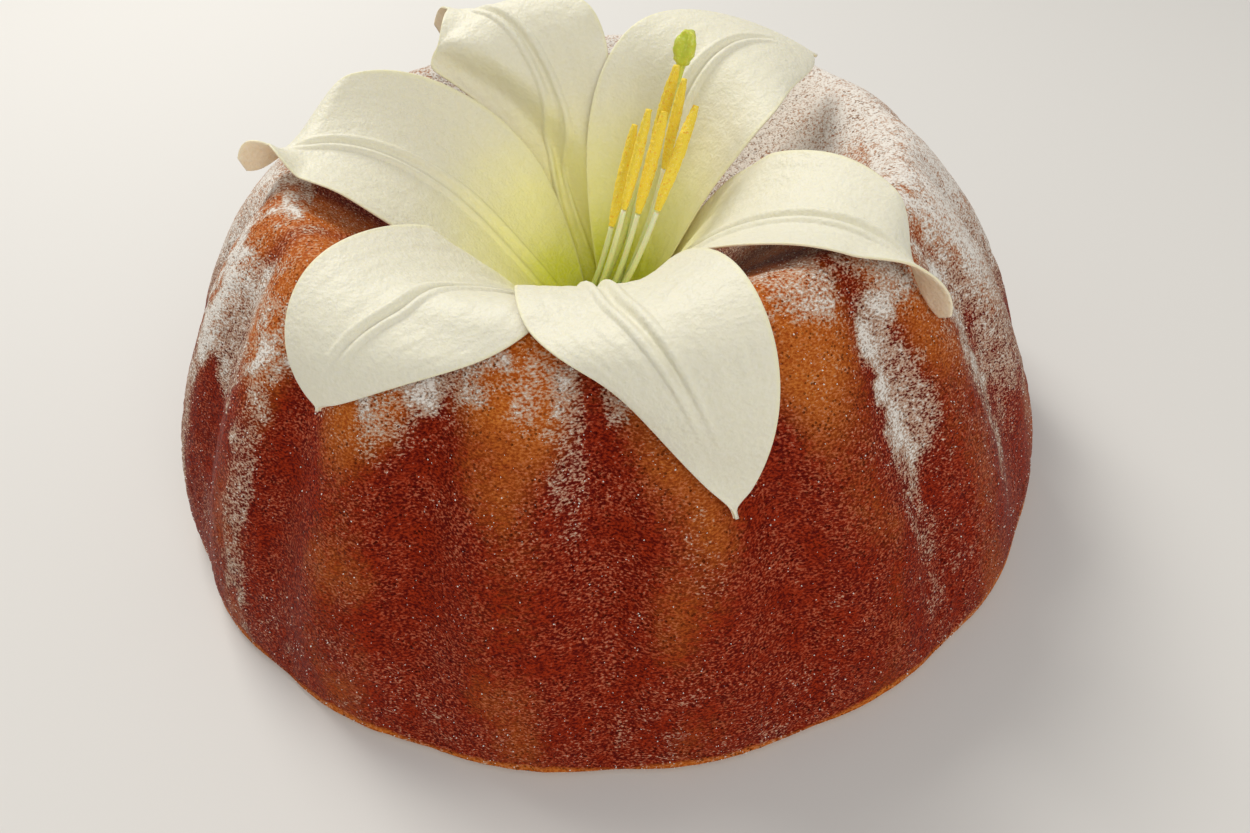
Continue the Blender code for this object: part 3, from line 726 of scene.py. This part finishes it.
# The petals' flesh: cream, yellow then lime towards the throat's bottom, warmer underneath where the
# light comes through, and a painted highlight: a faint yellow line along the rim, where the rims catch the
# light
THROAT_BOTTOM = (0, 0, 34 * MM)
CREAM = (0.76, 0.735, 0.59)
PALE_CREAM = (0.92, 0.91, 0.84)
WARM_UNDERSIDE = (0.84, 0.69, 0.49)
RIM_HIGHLIGHT_YELLOW = (0.84, 0.80, 0.46)
THROAT_YELLOW = (0.95, 0.91, 0.42)
THROAT_LIME = (0.78, 0.80, 0.07)
petal_flesh = Finish("petal_flesh", Subsurface_Weight=0.30, Subsurface_Scale=1.5 * MM,
                     Subsurface_Radius=(1.0, 0.9, 0.6), Specular_IOR_Level=0.3)
uv = petal_flesh.node("ShaderNodeUVMap", {"uv_map": "petal"}, {})
across_uv = petal_flesh.node("ShaderNodeSeparateXYZ", {}, {"Vector": uv}, "X")
underneath = petal_flesh.attribute("underneath")
mottle = petal_flesh.noise(0.8 * MM, 3.0)
streak = petal_flesh.noise(9 * MM, 2.0)
from_foot = petal_flesh.node("ShaderNodeVectorMath", {"operation": "DISTANCE"},
                             {0: petal_flesh.place(), 1: THROAT_BOTTOM}, "Value")
from_foot = from_foot + (streak - 0.5) * (8 * MM)
colour = petal_flesh.mix(from_foot.between(64 * MM, 26 * MM), CREAM, THROAT_YELLOW)
colour = petal_flesh.mix(from_foot.between(32 * MM, 14 * MM), colour, THROAT_LIME)
# Painted highlight: a faint yellow line along each petal's rim, where the rims catch the light
rim = abs(across_uv - 0.5).between(0.470, 0.498)
colour = petal_flesh.mix(rim * 0.5, colour, RIM_HIGHLIGHT_YELLOW)
colour = petal_flesh.mix(underneath * 0.8, colour, WARM_UNDERSIDE)
colour = petal_flesh.mix(mottle.between(0.35, 0.65) * 0.12, colour, PALE_CREAM)
petal_flesh.feed("Base Color", colour)
petal_flesh.feed("Roughness", 0.40 + mottle * 0.2)
dents = petal_flesh.noise(3.2 * MM, 3.0)
petal_flesh.relief(mottle * (0.13 * MM) + dents * (0.45 * MM))

s, t = np.meshgrid(np.linspace(-1, 1, PETAL_GRID[0]), np.linspace(0, 1, PETAL_GRID[1]), indexing="ij")
sheets = {name: petal_sheet(s, t, **shape) for name, shape in PETALS.items()}
inner = [name for name, shape in PETALS.items() if shape["layer"] == "inner"]
for name in inner:
    sheets[name] = lay_on_cake(sheets[name], INNER_CLEAR)
for name in [name for name in sheets if name not in inner]:
    for _ in range(LAYER_ROUNDS):
        for cover in inner:
            sheets[name] = press_under(sheets[name], sheets[cover], LAYER_GAP)
        sheets[name] = lay_on_cake(sheets[name], OUTER_CLEAR)
for name, sheet in sheets.items():
    add_petal(name, sheet)


# The stamens
# Six smooth pale filaments rise from the cup. Each ends in a long anther, split lengthwise and covered
# with powdery golden pollen with orange flecks.
STAMENS = (
    (215, (3.9, -10.4, 66.9), (10.8, -5.8, 90.8)),
    (245, (7.2, -15.7, 74.3), (13.9, -13.5, 97.6)),
    (278, (10.5, -15.2, 72.7), (17.8, -9.4, 95.1)),
    (308, (14.9, -19.5, 75.4), (25.0, -9.1, 96.0)),
    (340, (17.6, -4.9, 79.0), (22.5, -5.9, 101.0)),
    (10, (15.0, 0.0, 81.5), (21.2, -1.6, 102.6)),
)
JOINT_GAP = 0.45 * MM
FOOT_LIFT = 0.9 * MM
FILAMENT_RING = 5 * MM
FILAMENT_RADIUS = 0.8 * MM
FILAMENT_BEND = 0.45
FILAMENT_STEPS, FILAMENT_SIDES = 48, 16
ANTHER_RADIUS = 1.6 * MM
ANTHER_END = 0.35
ANTHER_STEPS, ANTHER_SIDES = 96, 40
POLLEN_LUMP = 0.13 * MM
FILAMENT_PALE, FILAMENT_GREEN, FILAMENT_LIGHT = (0.78, 0.80, 0.56), (0.50, 0.58, 0.16), (0.85, 0.87, 0.70)
POLLEN_GOLD, POLLEN_ORANGE, POLLEN_PALE = (0.88, 0.66, 0.05), (0.84, 0.42, 0.02), (0.90, 0.80, 0.28)


def tube_rings(path, radii, sides):
    """Rings round a path: at each point a circle in the plane square to the path, with a radius for each
    point and, where radii has a second axis, for each direction."""
    along = np.gradient(path, axis=0)
    along /= np.linalg.norm(along, axis=1, keepdims=True)
    side = np.cross(along, (0.0, 1.0, 0.0))
    side /= np.linalg.norm(side, axis=1, keepdims=True)
    front = np.cross(along, side)
    turn = np.linspace(0, 2 * np.pi, sides, endpoint=False)[:, None]
    return path[:, None] + radii[..., None] * (np.cos(turn) * side[:, None] + np.sin(turn) * front[:, None])


def curve_through(foot, middle, end, count):
    """A curve that leaves foot towards middle and reaches end."""
    t = np.linspace(0, 1, count)[:, None]
    return (1 - t) ** 2 * foot + 2 * (1 - t) * t * middle + t ** 2 * end


filament_flesh = Finish("filament_flesh", Roughness=0.35, Subsurface_Weight=0.3, Subsurface_Scale=1 * MM)
height_up = filament_flesh.node("ShaderNodeSeparateXYZ", {}, {"Vector": filament_flesh.place()}, "Z")
shade = filament_flesh.noise(3 * MM)
colour = filament_flesh.mix(height_up.between(85 * MM, 40 * MM), FILAMENT_PALE, FILAMENT_GREEN)
filament_flesh.feed("Base Color", filament_flesh.mix(shade * 0.3, colour, FILAMENT_LIGHT))

pollen = Finish("pollen", Roughness=0.85)
flecks = pollen.noise(0.9 * MM, 3.0)
powdery = pollen.noise(0.35 * MM, 2.0)
colour = pollen.mix(flecks.between(0.56, 0.72), POLLEN_GOLD, POLLEN_ORANGE)
colour = pollen.mix(powdery.between(0.50, 0.75) * 0.7, colour, POLLEN_PALE)
pollen.feed("Base Color", colour)
pollen.relief(powdery * (0.20 * MM))

for number, (angle, low, high) in enumerate(STAMENS, 1):
    low, high = np.array(low) * MM, np.array(high) * MM
    up = (high - low) / np.linalg.norm(high - low)
    turn = np.radians(angle)
    foot_height = STALK[-1][1] * MM + FOOT_LIFT
    foot = np.array([FILAMENT_RING * np.cos(turn), FILAMENT_RING * np.sin(turn), foot_height])
    end = low - up * JOINT_GAP
    bend = end - up * FILAMENT_BEND * np.linalg.norm(end - foot)
    path = curve_through(foot, bend, end, FILAMENT_STEPS)
    taper = FILAMENT_RADIUS * np.linspace(1.0, 0.8, FILAMENT_STEPS)[:, None]
    rings = tube_rings(path, taper, FILAMENT_SIDES)
    stands_for = (f"filament_{number}",)
    add_round(f"lily_filament_{number}", rings, path[0], path[-1], filament_flesh, "filament", stands_for)
    rise = np.linspace(0, 1, ANTHER_STEPS)
    swelling = np.sin(np.pi * np.clip(rise, 0.02, 0.98)) ** 0.5
    radii = ANTHER_RADIUS * (ANTHER_END + (1 - ANTHER_END) * swelling)[:, None]
    around = np.linspace(0, 2 * np.pi, ANTHER_SIDES, endpoint=False) + number
    radii = radii * (0.90 + 0.10 * np.cos(2 * around) - 0.18 * np.exp(-(np.sin(around / 2) / 0.16) ** 2))
    spine = low + (high - low) * rise[:, None]
    rings = tube_rings(spine, radii, ANTHER_SIDES)
    lumps = grain(rings, 0.7 * MM, 20 + number)[..., None] * POLLEN_LUMP
    outward = rings - spine[:, None]
    rings = rings + lumps * outward / np.linalg.norm(outward, axis=-1, keepdims=True)
    stands_for = (f"anther_{number}",)
    add_round(f"lily_anther_{number}", rings, spine[0], spine[-1], pollen, "anther", stands_for)


# The pistil
# One smooth style, taller than the stamens, which swells at its end into a moist lime-green stigma of
# three lumpy lobes.
STYLE = ((0, 2.5, 40.5), (12, 4, 66), (22.5, 3, 101))
STYLE_RADIUS = 1.1 * MM
STIGMA_RADIUS = 2.5 * MM
STIGMA_LENGTH = 8 * MM
STYLE_STEPS, STIGMA_STEPS, STYLE_SIDES = 60, 40, 36
STIGMA_LUMP = 0.22 * MM
STYLE_GREEN, STIGMA_LIME, PAPILLAE_PALE = (0.74, 0.76, 0.30), (0.56, 0.62, 0.05), (0.80, 0.82, 0.22)

# Up the stigma: how far along, how wide against its radius, and how deep the folds between its lobes
STIGMA_RINGS = ((0.0, 0.45, 0.0), (0.12, 0.75, 0.1), (0.4, 1.0, 0.2), (0.75, 0.9, 0.28), (1.0, 0.45, 0.3))

pistil_flesh = Finish("pistil_flesh", Roughness=0.35, Subsurface_Weight=0.25, Subsurface_Scale=1 * MM)
height_up = pistil_flesh.node("ShaderNodeSeparateXYZ", {}, {"Vector": pistil_flesh.place()}, "Z")
papillae = pistil_flesh.noise(0.8 * MM, 3.0)
colour = pistil_flesh.mix(height_up.between(90 * MM, 101 * MM), STYLE_GREEN, STIGMA_LIME)
colour = pistil_flesh.mix(papillae.between(0.45, 0.7) * 0.5, colour, PAPILLAE_PALE)
pistil_flesh.feed("Base Color", colour)
pistil_flesh.relief(papillae * (0.18 * MM))

style = curve_through(*(np.array(STYLE) * MM), STYLE_STEPS)
up = (style[-1] - style[-2]) / np.linalg.norm(style[-1] - style[-2])
rise = np.linspace(0, 1, STIGMA_STEPS)[1:]
reach, swelling, folds = np.array(STIGMA_RINGS).T
path = np.concatenate([style, style[-1] + up * rise[:, None] * STIGMA_LENGTH])
stigma_radii = STIGMA_RADIUS * np.interp(rise, reach, swelling)
radii = np.append(np.full(STYLE_STEPS, STYLE_RADIUS), stigma_radii)[:, None]
three_lobes = np.append(np.zeros(STYLE_STEPS), np.interp(rise, reach, folds))[:, None]
around = np.linspace(0, 2 * np.pi, STYLE_SIDES, endpoint=False)
radii = radii * (1 + three_lobes * np.cos(3 * around))
rings = tube_rings(path, radii, STYLE_SIDES)
on_stigma = (np.arange(len(path)) >= STYLE_STEPS)[:, None]
lumps = STIGMA_LUMP * grain(rings, 1.1 * MM, 40) * on_stigma
outward = rings - path[:, None]
rings = rings + lumps[..., None] * outward / np.linalg.norm(outward, axis=-1, keepdims=True)
add_round("lily_pistil", rings, path[0], path[-1], pistil_flesh, "pistil", ("pistil",))
